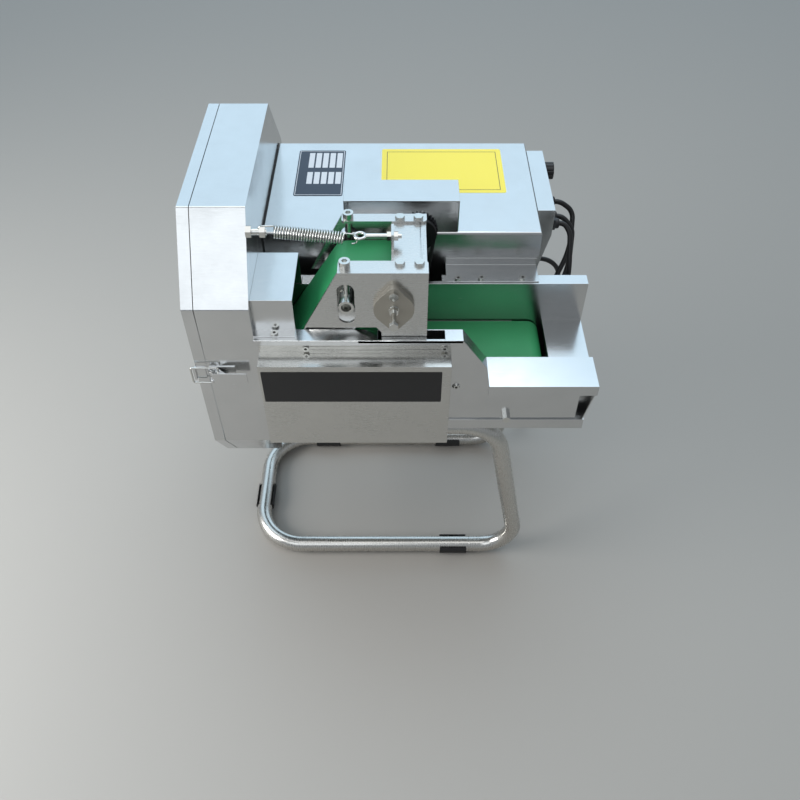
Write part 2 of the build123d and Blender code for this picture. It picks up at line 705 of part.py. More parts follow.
about_hook = Pos(spring_left, eye_y, stud_z)
save("spring", about_hook * Rot(0, tilt, 0) * about_hook.inverse() * coil)


# Knife housing, door and latch

def octagon():
    half = [(housing_half, hip_z), (housing_half, shoulder_z), (top_half, housing_top)]
    right = [(bottom_half, housing_bottom)] + half
    points = [(knife_y + y, z) for y, z in right] + [(knife_y - y, z) for y, z in reversed(right)]
    return fillet(outline(*points).vertices(), corner_r)


def pan(x0, x1, wall, open_side):
    """The octagon as a shallow pan, open towards the side named."""
    shell = along_x(octagon(), x0, x1)
    inside = offset(octagon(), -sheet, kind=Kind.INTERSECTION)
    if open_side == "left":
        return shell - along_x(inside, x0, x1 - wall)
    return shell - along_x(inside, x0 + wall, x1)


housing = pan(housing_left, housing_right, housing_wall, "left")
outlet_half = bottom_half - 4
housing -= block(housing_left - 1, housing_right - housing_wall, knife_y - outlet_half,
                 knife_y + outlet_half, housing_bottom - 1, housing_bottom + sheet + 1)
housing -= block(housing_right - 5, housing_right + 1, inner_y, rear_y, bed_top, mouth_top)
housing -= rod_x(housing_right - 5, housing_right + 1, knife_y, knife_z, knife_shaft_r + 4)
save("knife_housing", housing)
save("knife_door", pan(door_x, door_x + door_depth, sheet, "right"))

# Door hinge: a knuckle for each leaf, on a pin at the back of the gap
hinge_x = housing_left - door_gap
hinge_y = housing_back + hinge_back
pin_r = 2.5
hinge_z = (knife_z - 83, knife_z + 37)
knuckle_h = 20.0
leaf_reach = 17.0            # the leaf on the housing, from the pin's line
door_knuckles = []
housing_knuckles = []
for z in hinge_z:
    for low, knuckles, reach in ((z, door_knuckles, 1 - door_depth),
                                 (z + knuckle_h + 0.4, housing_knuckles, leaf_reach)):
        toward = 1 if reach > 0 else -1
        barrel = rod_z(low, low + knuckle_h, hinge_x, hinge_y, knuckle_r)
        near, far = sorted((hinge_x, hinge_x + reach))
        barrel += block(near, far, housing_back, housing_back + sheet, low, low + knuckle_h)
        near, far = sorted((hinge_x - toward * 0.5, hinge_x + toward * 3))
        barrel += block(near, far, housing_back + 0.3, hinge_y, low, low + knuckle_h)
        bore_r = pin_r + running if toward < 0 else pin_r
        knuckles.append(barrel - rod_z(low, low + knuckle_h, hinge_x, hinge_y, bore_r))
pins = [rod_z(z, z + 2 * knuckle_h + 0.4, hinge_x, hinge_y, pin_r) for z in hinge_z]
save("housing_hinge", *housing_knuckles, *pins)

# Toggle latch on the housing's front face: base, lever, wire bail, and the
# hook on the door that the bail pulls.  The bail is drawn just lifted off it.
latch_z = knife_z + 7
latch_half = 10.0
ear_t = 1.5
fulcrum_x = housing_left + 6
fulcrum_y = housing_front - 6
fulcrum_r = 2.0
latch_end = -190.0
base = block(fulcrum_x - 4, latch_end - 16, housing_front - ear_t, housing_front,
             latch_z - latch_half, latch_z + latch_half)
for z0 in (latch_z - latch_half, latch_z + latch_half - ear_t):
    ear = Pos(fulcrum_x, fulcrum_y) * Circle(4)
    ear += Pos(fulcrum_x, (fulcrum_y + housing_front) / 2) * Rectangle(8, housing_front - fulcrum_y)
    base += along_z(ear, z0, z0 + ear_t)
base -= rod_z(latch_z - latch_half, latch_z + latch_half, fulcrum_x, fulcrum_y, fulcrum_r)
rivet = rod_z(latch_z - latch_half - 1, latch_z + latch_half + 1, fulcrum_x, fulcrum_y, fulcrum_r)
save("latch_base", base, rivet)
lever_half = latch_half - ear_t - 0.4
bail_x = fulcrum_x + 8
lever_back = fulcrum_y - 4.5
lever = block(fulcrum_x + 2, latch_end, lever_back - ear_t, lever_back,
              latch_z - lever_half, latch_z + lever_half)
cheek = hull_of([(fulcrum_x, fulcrum_y, 3.8), (bail_x, fulcrum_y, 2.8)], 0)
cheek += outline((fulcrum_x + 2, lever_back - ear_t), (bail_x + 12, lever_back - ear_t),
                 (bail_x, fulcrum_y + 2.8), (fulcrum_x + 2, fulcrum_y))
for z0 in (latch_z - lever_half, latch_z + lever_half - ear_t):
    lever += along_z(cheek, z0, z0 + ear_t)
lever -= rod_z(latch_z - latch_half, latch_z + latch_half, fulcrum_x, fulcrum_y, fulcrum_r + running)
lever -= rod_z(latch_z - latch_half, latch_z + latch_half, bail_x, fulcrum_y, bail_wire_r + running)
save("latch_lever", lever)
bail_half = latch_half + 2.8
bail_tip_x = door_x - bail_reach
bail_ends = [(bail_x, lever_half - 0.2), (bail_x, bail_half), (bail_tip_x, bail_half)]
bail_corners = [(x, latch_z - z) for x, z in bail_ends] + [(x, latch_z + z) for x, z in reversed(bail_ends)]
bail_line = FilletPolyline(*[(x, fulcrum_y, z) for x, z in bail_corners], radius=2.4)
bail = sweep(Plane(origin=bail_line @ 0, z_dir=bail_line % 0) * Circle(bail_wire_r), path=bail_line)
save("latch_bail", bail)
hook_top = fulcrum_y + bail_wire_r + 0.5
keeper_half = latch_half - 0.5
keeper_shape = outline((door_x - ear_t, hook_top), (door_x, hook_top), (door_x, housing_front - ear_t),
                       (door_x + door_depth - 2, housing_front - ear_t),
                       (door_x + door_depth - 2, housing_front), (door_x - ear_t, housing_front))
keeper_shape += Pos(door_x - 1.55, hook_top + ear_t / 2) * Rectangle(3.1, ear_t)
save("door_fittings", along_z(keeper_shape, latch_z - keeper_half, latch_z + keeper_half), *door_knuckles)

# Motor box and what is inside it

def motor_box():
    shell = block(housing_right + 1, box_right, box_front, box_back, tray_floor, box_top)
    shell = fillet(shell.edges().group_by(Axis.Z)[-1], corner_r)
    shell -= block(housing_right, box_right - sheet, box_front + sheet, box_back - sheet,
                   tray_floor - 1, box_top - sheet)
    return shell - rod_y(box_front - 1, box_front + 3, pivot_x, pivot_z, cross_r + 4)


save("motor_box", motor_box())
hood = block(hood_left, hood_right, box_front + 3, hood_back, box_top, hood_top)
hood -= block(hood_left + sheet, hood_right - sheet, box_front, hood_back - sheet,
              box_top - 1, hood_top - sheet)
save("gear_hood", hood)
bracket_left = 59.5
bracket_right = box_right - 2.5
bracket_front = rear_y + 3
bracket = block(bracket_left, bracket_right, bracket_front, box_front, throat_z, throat_z + sheet)
bracket += block(bracket_left, bracket_right, box_front - sheet, box_front, throat_z, throat_z + 12)
bracket_screws = []
for x, y in ((15.5, 5.0), (45.5, 6.0), (98.5, 6.0)):
    seat = (bracket_left + x, bracket_front + y, throat_z + sheet)
    bracket_screws.append(screw(seat, (0, 0, 1), 5, sheet, 4.5, 2.5))
    bracket -= bracket_screws[-1]
save("fixing_bracket", bracket)

bearing_x0 = housing_right
bearing_tube = Pos(bearing_x0 + 5, knife_y, knife_z) * Box(10, 90, 90)
bearing_tube += rod_x(bearing_x0 + 10, bearing_x0 + bearing_len, knife_y, knife_z, bearing_r)
bearing_tube -= rod_x(bearing_x0, bearing_x0 + bearing_len, knife_y, knife_z, 20)
rings = []
for x in (bearing_x0, bearing_x0 + bearing_len - 12):
    ring = rod_x(x, x + 12, knife_y, knife_z, 20)
    rings.append(ring - rod_x(x, x + 12, knife_y, knife_z, knife_shaft_r + running))
save("knife_bearings", bearing_tube, *rings)
disc_x = housing_right - housing_wall - blade_gap - blade_t
knife_shaft = rod_x(disc_x - 24, knife_belt_x + 10, knife_y, knife_z, knife_shaft_r)
disc = rod_x(disc_x - disc_t, disc_x, knife_y, knife_z, disc_r)
disc += rod_x(disc_x - 18, disc_x - disc_t, knife_y, knife_z, 22)
disc -= rod_x(disc_x - 19, disc_x, knife_y, knife_z, knife_shaft_r)
for turn in range(6):
    a = radians(60 * turn + 30)
    disc -= rod_x(disc_x - 10, disc_x + 1, knife_y + 66 * cos(a), knife_z + 66 * sin(a), 15)


def blade(turn):
    """A curved blade: a hooked cutting edge in front, a hollow back."""
    def at(r, a):
        return (r * cos(radians(a)), r * sin(radians(a)))
    cutting = ThreePointArc(at(40, 20), at(118, -8), at(blade_r, 22))
    tip = ThreePointArc(at(blade_r, 22), at(blade_r, 32), at(blade_r, 42))
    back = ThreePointArc(at(blade_r, 42), at(118, 34), at(52, 74))
    heel = Line(at(52, 74), at(40, 20))
    face = make_face(cutting + tip + back + heel)
    return along_x(Pos(knife_y, knife_z) * Rot(0, 0, turn) * face, disc_x, disc_x + blade_t)


blades = [blade(turn) for turn in (0, 180)]
fasteners = [nut((disc_x - 18, knife_y, knife_z), (-1, 0, 0), 2 * knife_shaft_r, 17, 6)]
for turn in (0, 180):
    for r, a in ((60, 40), (80, 20), (98, 16)):
        y = knife_y + r * cos(radians(a + turn))
        z = knife_z + r * sin(radians(a + turn))
        hole = rod_x(disc_x - disc_t - 6, disc_x + blade_t, y, z, 3)
        blades = [one - hole for one in blades]
        disc -= hole
        bolt = rod_x(disc_x - disc_t - 5.5, disc_x + blade_t, y, z, 3)
        fasteners.append(bolt + nut((disc_x - disc_t, y, z), (-1, 0, 0), 6, 5.8, 5))
save("knife_disc", disc)
save("knife_blades", *blades)
save("knife_fasteners", *fasteners)


def pulley_x(x0, y, z, r, bore_r):
    half = 7.0
    rim = outline((-half, bore_r), (-half, r), (-5, r), (-3.2, r - 7),
                  (3.2, r - 7), (5, r), (half, r), (half, bore_r))
    return Pos(x0, y, z) * revolve(Plane.XY * rim, axis=Axis.X)


save("knife_shaft", knife_shaft, pulley_x(knife_belt_x, knife_y, knife_z, knife_pulley_r, knife_shaft_r))
motor_end = motor_left - motor_nose
motor_wheel = pulley_x(knife_belt_x, motor_y, motor_z, motor_pulley_r, 0.1)
motor_wheel += rod_x(knife_belt_x - 8, motor_end, motor_y, motor_z, 9)
save("motor_pulley", motor_wheel)
drive_wheels = [(knife_y, knife_z, knife_pulley_r - 6.6), (motor_y, motor_z, motor_pulley_r - 6.6)]
knife_loop = hull_of(drive_wheels, 6) - hull_of(drive_wheels, 0)
save("knife_belt", along_x(knife_loop, knife_belt_x - 2.6, knife_belt_x + 2.6))
motor_right = motor_left + motor_len
motor = rod_x(motor_left, motor_right, motor_y, motor_z, motor_r)
motor += rod_x(motor_end, motor_left, motor_y, motor_z, 40)
motor += rod_x(motor_right, motor_right + 18, motor_y, motor_z, 50)
motor += block(motor_left + 18, motor_right - 20, motor_y - 50, motor_y + 50, tray_floor, motor_z - 40)
motor -= rod_x(motor_end - 1, motor_left + 8, motor_y, motor_z, 9 + running)
gearbox = block(pivot_x - 32, pivot_x + 32, box_front + 6, box_front + 60, tray_floor, pivot_z + 32)
gearbox += rod_x(pivot_x + 32, pivot_x + 135, box_front + 34, pivot_z, 27)
gearbox -= rod_y(box_front, box_front + 24, pivot_x, pivot_z, cross_r + running)
save("motors", motor, gearbox)

# Front drive cover, mouth cover and the screws that hold them
cover = block(cover_left, cover_right, cover_front, tray_front, tray_z, cover_top)
cover += block(cover_left, cover_right, tray_front, front_y, cover_top - sheet, cover_top)
cover += block(cover_left, cover_right, front_y - sheet / 2, front_y, cover_top - sheet, cover_flange)
cover -= block(cover_left + sheet, cover_right - sheet, cover_front + sheet, tray_front + 1,
               tray_z + sheet, cover_top - sheet)
cover_screws = []
for x in flange_screw_x:
    seat = (x, front_y - sheet / 2, cover_flange - 5)
    cover_screws.append(screw(seat, (0, -1, 0), 5, sheet / 2, 4, 2.2))
    cover -= cover_screws[-1]
save("front_drive_cover", cover)
mouth = block(housing_right, mouth_right, inner_y - 3, rear_y + 2.5, throat_z, mouth_cover_top)
mouth -= block(housing_right - 1, mouth_right + 1, inner_y - 1.5, rear_y + 1,
               throat_z - 1, mouth_cover_top - sheet)
mouth += block(housing_right, mouth_right, front_y + 3, inner_y - 1.5, throat_z, throat_z + sheet)
mouth += block(housing_right, mouth_right, rear_y + 1, rear_flange - 4, throat_z, throat_z + sheet)
mouth_mid = (housing_right + mouth_right) / 2
mouth_screws = []
for y in (front_y + 8, rear_flange - 9):
    mouth_screws.append(screw((mouth_mid, y, throat_z + sheet), (0, 0, 1), 5, sheet, 4.5, 2.5))
    mouth -= mouth_screws[-1]
save("mouth_cover", mouth)
adjuster_x = 140.0
adjuster_z = tray_floor + tray_rim + 6.5
adjuster = screw((adjuster_x, front_y - 5, adjuster_z), (0, -1, 0), 6, 5, 5.8, 4, 6)
adjuster += nut((adjuster_x, front_y, adjuster_z), (0, -1, 0), 6, 5.8, 5)
save("frame_screws", *saddle_bolts, *bracket_screws, *cover_screws, *mouth_screws, adjuster, stud)

# Control box, its switch and knob, and the leads to the motors
def control_profile(wall):
    return outline((box_right, control_low + wall), (control_foot_x - wall, control_low + wall),
                   (control_right - wall, control_bend_z), (control_right - wall, control_top - wall),
                   (box_right, control_top - wall))


control = along_y(control_profile(0), control_front, control_back)
control -= along_y(control_profile(sheet), control_front + sheet, control_back - sheet)
switch_y = 275.0
knob_y = 305.0
panel_z = (control_bend_z + control_top) / 2
control -= block(control_right - 5, control_right + 1, switch_y - 9, switch_y + 9,
                 panel_z - 12, panel_z + 12)
control -= rod_x(control_right - 5, control_right + 1, knob_y, panel_z, 4)
bezel = Pos(control_right + 1, switch_y, panel_z) * Box(2, 22, 28)
bezel += Pos(control_right - 6, switch_y, panel_z) * Box(12, 18, 24)
bezel -= Pos(control_right - 3.5, switch_y, panel_z) * Box(13, 14.8, 21.2)
rocker_tilt = 8.0
rocker_x = control_right - 2
rocker = block(-4, 5, -7, 7, -9.6, 9.6)
rocker = fillet(rocker.edges().filter_by(Axis.Y).group_by(Axis.X)[-1], 2)
save("power_switch", Pos(rocker_x, switch_y, panel_z) * Rot(0, rocker_tilt, 0) * rocker)
speed_pot = rod_x(control_right - 14, control_right - sheet, knob_y, panel_z, 9)
speed_pot += rod_x(control_right - sheet, control_right + 3, knob_y, panel_z, 4)
speed_pot -= rod_x(control_right - 12, control_right + 3, knob_y, panel_z, 3 + running)
knob_grip = Circle(12)
for turn in range(12):
    knob_grip -= Pos(12.6 * cos(radians(30 * turn)), 12.6 * sin(radians(30 * turn))) * Circle(1.6)
knob = along_x(Pos(knob_y, panel_z) * knob_grip, control_right + 3.4, control_right + 15)
knob -= block(control_right + 14, control_right + 16, knob_y - 0.6, knob_y + 0.6, panel_z, panel_z + 11)
save("speed_knob", knob + rod_x(control_right - 11, control_right + 3.4, knob_y, panel_z, 3))
lead_r = 3.5
gland_len = 10.5


def gland(wall_x, y, z):
    """A cable gland that looks along +X: hexagon, dome and the lead's hole."""
    body = extrude(Plane.YZ.offset(wall_x) * Pos(y, z) * RegularPolygon(9, 6), amount=5, dir=(1, 0, 0))
    dome = rod_x(wall_x + 5, wall_x + gland_len, y, z, 7)
    body += fillet(dome.edges().group_by(Axis.X)[-1], 2.5)
    return body - rod_x(wall_x, wall_x + gland_len, y, z, lead_r)


def cable(route, r):
    """A round cable along straight runs joined by the largest arcs they allow."""
    corners = [Vector(*point) for point in route]
    radii = []
    for before, here, after in zip(corners, corners[1:], corners[2:]):
        turn = (here - before).get_angle(after - here)
        radii.append(0.45 * min((here - before).length, (after - here).length) / tan(radians(turn / 2)))
    line = FilletPolyline(*route, radius=radii)
    solid = sweep(Plane(origin=line @ 0, z_dir=line % 0) * Circle(r), path=line)
    ratio = solid.volume / (pi * r * r * line.length)
    print("cable", round(line.length, 1), "long, volume ratio", round(ratio, 4))
    print("bend radii", [round(radius, 1) for radius in radii])
    return solid


lead_ends = [((control_right, 240, 512), (box_right, 172, 408)),
             ((control_right, 214, 506), (box_right, 148, 400)),
             ((control_right, 192, 510), (box_right, 150, 362))]
lead_bends = [[(242, 238, 498), (240, 206, 456), (216, 178, 414)],
              [(238, 206, 492), (234, 172, 446), (212, 152, 404)],
              [(230, 184, 500), (232, 154, 452), (226, 142, 400), (212, 148, 368)]]
leads = []
glands = []
for (start, end), bends in zip(lead_ends, lead_bends):
    glands += [gland(*start), gland(*end)]
    route = [(start[0] + 2, start[1], start[2]), (start[0] + gland_len + 7.5, start[1], start[2])] + bends
    route += [(end[0] + gland_len + 7.5, end[1], end[2]), (end[0] + 2, end[1], end[2])]
    leads.append(cable(route, lead_r))
save("control_leads", *leads)
save("control_box", control)

# Mains cord: a tapered gland under the control box, a drop behind the trough,
# and the length that isn't needed coiled on the floor behind the stand
cord_y = 238.0
cord_z = 416.0
cord_start = box_right + 9
relief_end = box_right + 20
relief_nut = 6.0
relief = along_x(Pos(cord_y, cord_z) * RegularPolygon(9, 6), box_right, box_right + relief_nut)
taper = relief_end - box_right - relief_nut
relief += Pos(relief_end - taper / 2, cord_y, cord_z) * Rot(0, 90, 0) * Cone(7, 5, taper)
relief -= rod_x(cord_start, relief_end, cord_y, cord_z, cord_r)
save("control_fittings", bezel, speed_pot, *glands, relief)
ring_back = coil_y + coil_r + cord_r
cord_route = [(cord_start, cord_y, cord_z), (210.5, 238, 416), (228.6, 239.3, 405.5),
              (239.1, 241.4, 387.4), (239.5, 246.2, 363.9), (235.5, 255, 325.1),
              (233.5, 259.8, 265.3), (235, 261, 205), (232, 263.5, 150), (229, 262, 100),
              (226.5, 262, 60), (226, 263, 36.4), (226, 275, 15.6), (224.8, 295.8, cord_low),
              (218, 325, cord_low), (199, 352, cord_low), (170, 369, cord_low),
              (141, ring_back, cord_low), (coil_x + coil_stub, ring_back, cord_low)]
save("mains_cord", cable(cord_route, cord_r))
strand_gap = 0.4             # the coil's block stands this far inside its strands
ring = Circle(coil_r + 2 * cord_r - strand_gap) - Circle(coil_r - 2 * cord_r + strand_gap)
coil = along_z(Pos(coil_x, coil_y) * ring, cord_low - cord_r + strand_gap,
               cord_low + 3 * cord_r - strand_gap)
coil += rod_x(coil_x, coil_x + coil_stub, ring_back, cord_low, cord_r)
coil += rod_x(coil_x, coil_x + coil_stub, coil_y - coil_r - cord_r, cord_low + 2 * cord_r, cord_r)
save("cord_coil", coil)
plug_x = coil_x + coil_stub
plug_y = coil_y - coil_r - cord_r
plug_z = cord_low + 2 * cord_r
plug_body = block(plug_x + 18, plug_x + 52, plug_y - 14, plug_y + 14, 0.1, 2 * plug_z - 0.1)
plug_body = fillet(plug_body.edges().filter_by(Axis.X), 7)
plug_body += Pos(plug_x + 9, plug_y, plug_z) * Rot(0, 90, 0) * Cone(5, 9, 18)
for side in (-1, 1):
    plug_body += rod_x(plug_x + 52, plug_x + 71, plug_y + side * 9.5, plug_z, 2.4)
save("plug", plug_body)
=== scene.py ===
# %% [markdown]
# # A belt-fed vegetable cutting machine
# The machine stands on a bent stainless tube. Vegetables lie on a green belt,
# a second belt in a sprung press holds them down, and a disc with curved knives
# in the eight-sided housing on the left slices them. The solids come from a
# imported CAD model, so every size and place is already right. This lesson gives
# them their finishes and adds what the CAD leaves out: the coiled spring, the
# cord as one curve, blank plates, one more screw, the screws' sockets and the
# dark lines where sheets meet.

# %% Start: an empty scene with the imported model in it
import json
from math import cos, pi, radians, sin

import bmesh
import bpy
from mathutils import Matrix, Vector

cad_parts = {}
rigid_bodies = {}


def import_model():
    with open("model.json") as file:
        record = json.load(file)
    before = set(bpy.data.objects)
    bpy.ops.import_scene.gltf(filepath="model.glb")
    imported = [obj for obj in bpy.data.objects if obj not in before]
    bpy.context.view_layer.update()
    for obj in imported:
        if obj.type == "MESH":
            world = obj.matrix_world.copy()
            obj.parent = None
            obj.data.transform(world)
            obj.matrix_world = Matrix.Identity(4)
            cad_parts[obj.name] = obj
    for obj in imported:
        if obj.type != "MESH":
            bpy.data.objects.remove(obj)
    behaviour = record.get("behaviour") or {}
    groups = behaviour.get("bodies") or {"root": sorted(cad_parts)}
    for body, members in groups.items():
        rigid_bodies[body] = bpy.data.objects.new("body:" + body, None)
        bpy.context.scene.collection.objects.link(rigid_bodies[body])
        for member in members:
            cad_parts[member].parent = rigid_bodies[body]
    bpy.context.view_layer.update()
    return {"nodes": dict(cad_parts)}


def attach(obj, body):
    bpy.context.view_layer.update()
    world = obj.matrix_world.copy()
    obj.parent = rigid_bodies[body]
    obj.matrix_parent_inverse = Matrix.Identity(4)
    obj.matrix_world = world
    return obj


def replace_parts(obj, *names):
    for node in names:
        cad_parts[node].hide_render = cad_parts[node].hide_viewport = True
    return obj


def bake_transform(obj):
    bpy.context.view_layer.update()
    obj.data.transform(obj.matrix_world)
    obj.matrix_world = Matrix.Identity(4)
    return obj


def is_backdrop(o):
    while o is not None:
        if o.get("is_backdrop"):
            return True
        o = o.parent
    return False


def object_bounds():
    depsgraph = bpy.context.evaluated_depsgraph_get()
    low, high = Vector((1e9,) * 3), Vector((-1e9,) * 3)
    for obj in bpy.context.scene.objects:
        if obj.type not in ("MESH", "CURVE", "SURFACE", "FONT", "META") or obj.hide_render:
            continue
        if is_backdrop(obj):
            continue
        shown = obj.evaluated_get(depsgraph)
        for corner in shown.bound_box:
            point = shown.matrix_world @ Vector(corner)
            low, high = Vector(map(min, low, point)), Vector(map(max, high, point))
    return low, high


for leftover in list(bpy.data.objects):
    bpy.data.objects.remove(leftover)
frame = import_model()
scene = bpy.context.scene
scene.view_settings.view_transform = "Standard"
mm = 0.001

# %% [markdown]
# Sizes were taken from the front floor bar of the stand: X to the right, Y to
# the back, Z up from the floor. The model's own origin is in the middle of its
# footprint, so one function moves a measured place there and turns it into
# metres.

# %% A measured place, in metres
front_bar = Vector((8.6, -166.0, 0.0))


def at(x, y, z):
    """A place measured from the front bar, in the model's metres."""
    return (Vector((x, y, z)) + front_bar) * mm


# %% [markdown]
# The camera stands in front of the machine, a little over a metre up, and
# looks down by 48 degrees with a slightly wide lens. It comes first, because
# every later choice is judged through it. The focal length was found in pixels
# of a square picture, and the sensor's width turns it into millimetres.

# %% Camera
look_down = 47.8
camera_place = (0, -715.6, 1155.6)
picture_pixels = 800
focal_pixels = 806
sensor_width = 36
camera = bpy.data.objects.new("camera", bpy.data.cameras.new("camera"))
scene.collection.objects.link(camera)
camera.location = at(*camera_place)
camera.rotation_euler = (radians(90 - look_down), 0, 0)
camera.data.sensor_width = sensor_width
camera.data.lens = sensor_width * focal_pixels / picture_pixels
scene.camera = camera
print("lens", round(camera.data.lens, 1), "mm")

# %% [markdown]
# Materials are built from nodes. One function adds a node with its settings
# and links, and another turns a colour as a designer writes it, an sRGB hex
# value, into the linear numbers that a shader works with.

# %% Helpers for materials
def linear(code):
    """'#2E8052' as linear red, green, blue and alpha."""
    parts = [int(code[i:i + 2], 16) / 255 for i in (1, 3, 5)]
    return [c / 12.92 if c < 0.04045 else ((c + 0.055) / 1.055) ** 2.4 for c in parts] + [1.0]


def darker(code, share):
    """The same colour with this share of its light."""
    return [c * share for c in linear(code)[:3]] + [1.0]


def add(tree, kind, values=None, links=None, **settings):
    """One node: its settings, the values of its sockets and what feeds them."""
    made = tree.nodes.new(kind)
    for name, value in settings.items():
        setattr(made, name, value)
    for socket, value in (values or {}).items():
        made.inputs[socket].default_value = value
    for socket, source in (links or {}).items():
        tree.links.new(source, made.inputs[socket])
    return made


def new_material(name):
    """An empty material: its node tree, its surface shader and object coordinates."""
    material = bpy.data.materials.new(name)
    material.use_nodes = True
    tree = material.node_tree
    tree.nodes.clear()
    surface = add(tree, "ShaderNodeBsdfPrincipled")
    add(tree, "ShaderNodeOutputMaterial", links={"Surface": surface.outputs["BSDF"]})
    place = add(tree, "ShaderNodeTexCoord").outputs["Object"]
    return material, tree, surface, place


def per_mm(size):
    """The noise scale that gives blotches of this many millimetres."""
    return 1 / (size * mm)


# %% [markdown]
# Nearly everything here is 304 stainless sheet with a 2B finish: rolled
# between polished rollers, so it mirrors softly, with very fine lines along
# the rolling direction and a faint waviness where it was folded. Three noises
# do that. Long thin lines and slow smears vary the roughness, the smears also
# darken the colour a little, and a broad wave tilts the surface by a hair, which
# bends reflections. Real rolling lines are too fine to show in the picture, so
# they are drawn about half a millimetre wide.

# %% Stainless sheet, 2B finish
smear_mm, wave_mm = 45, 70
smear_tone = 0.86


def rolled_sheet(name, colour, roughness, grain, wave=0.05, spread=0.07):
    """Rolled steel: grain is the size of its fine lines along X, Y and Z, in millimetres."""
    material, tree, surface, place = new_material(name)
    surface.inputs["Metallic"].default_value = 1.0
    lines = add(tree, "ShaderNodeMapping", {"Scale": [per_mm(g) for g in grain]},
                {"Vector": place})
    fine = add(tree, "ShaderNodeTexNoise", {"Scale": 1.0, "Detail": 3.0},
               {"Vector": lines.outputs["Vector"]})
    smears = add(tree, "ShaderNodeTexNoise",
                 {"Scale": per_mm(smear_mm), "Detail": 4.0, "Roughness": 0.6},
                 {"Vector": place})
    both = add(tree, "ShaderNodeMix", {"Factor": 0.5},
               {"A": fine.outputs["Fac"], "B": smears.outputs["Fac"]})
    rough = add(tree, "ShaderNodeMapRange",
                {"From Min": 0.3, "From Max": 0.7,
                 "To Min": roughness - spread, "To Max": roughness + spread},
                {"Value": both.outputs["Result"]})
    tree.links.new(rough.outputs["Result"], surface.inputs["Roughness"])
    tint = add(tree, "ShaderNodeMix", {"A": linear(colour), "B": darker(colour, smear_tone)},
               {"Factor": smears.outputs["Fac"]}, data_type="RGBA")
    tree.links.new(tint.outputs["Result"], surface.inputs["Base Color"])
    waves = add(tree, "ShaderNodeTexNoise", {"Scale": per_mm(wave_mm), "Detail": 1.0},
                {"Vector": place})
    slow = add(tree, "ShaderNodeBump", {"Strength": 0.25, "Distance": wave * 10 * mm},
               {"Height": waves.outputs["Fac"]})
    grain_bump = add(tree, "ShaderNodeBump", {"Strength": 0.12, "Distance": 0.02 * mm},
                     {"Height": fine.outputs["Fac"], "Normal": slow.outputs["Normal"]})
    tree.links.new(grain_bump.outputs["Normal"], surface.inputs["Normal"])
    return material


sheet_steel = rolled_sheet("stainless_sheet_2b", "#D4D5D5", 0.21, (14.0, 0.6, 0.6))
press_steel = rolled_sheet("stainless_plate_brushed", "#D2D2D0", 0.26, (30.0, 0.5, 0.3))
cover_steel = rolled_sheet("stainless_cover_2b", "#CDCCC8", 0.25, (20.0, 0.6, 0.6))
# Polishing a tube leaves lines round it, as here on the long bars.
tube_steel = rolled_sheet("stainless_tube_satin", "#CFCDC8", 0.27, (0.5, 12.0, 12.0), wave=0.02)
# Turned pieces have no waves, only the tool's fine marks.
turned_steel = rolled_sheet("stainless_turned", "#D6D6D2", 0.2, (0.6, 3.0, 3.0),
                            wave=0.0, spread=0.05)

# %% [markdown]
# The belts are PVC food belting: a flat, rather matt green skin with the
# faint cloth of its carcass printing through, and a little dirt. Rubber and
# moulded plastic are dark and matt, with a fine moulded grain. The same
# function serves cast, blackened and enamelled metal, which have a fine grain
# and slow clouds too: sand leaves the castings dull and rough, and hot oil
# leaves the gears nearly black with a weak shine.

# %% Belting, rubber, plastic, cast and coated metal
cloud_size = 40                  # clouds are this many times as wide as the grain


def moulded(name, colour, roughness, grit, depth, tone=0.8, metallic=0.0):
    """A grainy skin: grit is the grain's width and depth its height, in millimetres."""
    material, tree, surface, place = new_material(name)
    surface.inputs["Metallic"].default_value = metallic
    grain = add(tree, "ShaderNodeTexNoise", {"Scale": per_mm(grit), "Detail": 2.0},
                {"Vector": place})
    cloud = add(tree, "ShaderNodeTexNoise", {"Scale": per_mm(grit * cloud_size), "Detail": 4.0},
                {"Vector": place})
    tint = add(tree, "ShaderNodeMix", {"A": linear(colour), "B": darker(colour, tone)},
               {"Factor": cloud.outputs["Fac"]}, data_type="RGBA")
    tree.links.new(tint.outputs["Result"], surface.inputs["Base Color"])
    rough = add(tree, "ShaderNodeMapRange",
                {"To Min": roughness - 0.08, "To Max": roughness + 0.08},
                {"Value": cloud.outputs["Fac"]})
    tree.links.new(rough.outputs["Result"], surface.inputs["Roughness"])
    bump = add(tree, "ShaderNodeBump", {"Strength": 0.3, "Distance": depth * mm},
               {"Height": grain.outputs["Fac"]})
    tree.links.new(bump.outputs["Normal"], surface.inputs["Normal"])
    return material


belting = moulded("pvc_belting_green", "#2C8F58", 0.48, 0.9, 0.10, tone=0.82)
rubber = moulded("rubber_black", "#1B1B1C", 0.62, 0.8, 0.08)
cable_skin = moulded("pvc_cable_black", "#161617", 0.42, 1.5, 0.02)
black_plastic = moulded("nylon_black", "#1D1D1F", 0.45, 0.7, 0.05)
blackened = moulded("blackened_steel", "#232325", 0.38, 0.8, 0.04, metallic=0.6)
cast_metal = moulded("sand_cast_steel", "#AFAAA0", 0.46, 1.0, 0.10, metallic=0.85)
# Painted shade: a dark hexagon stands for the shade in each screw's socket hollow.
socket_shade = moulded("hex_socket_painted_shade", "#26241F", 0.5, 0.5, 0.03)
motor_enamel = moulded("enamel_grey", "#5E6366", 0.4, 1.0, 0.04)

# %% [markdown]
# Every CAD node gets its finish, in the slots that its mesh came with, so that
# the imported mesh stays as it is.

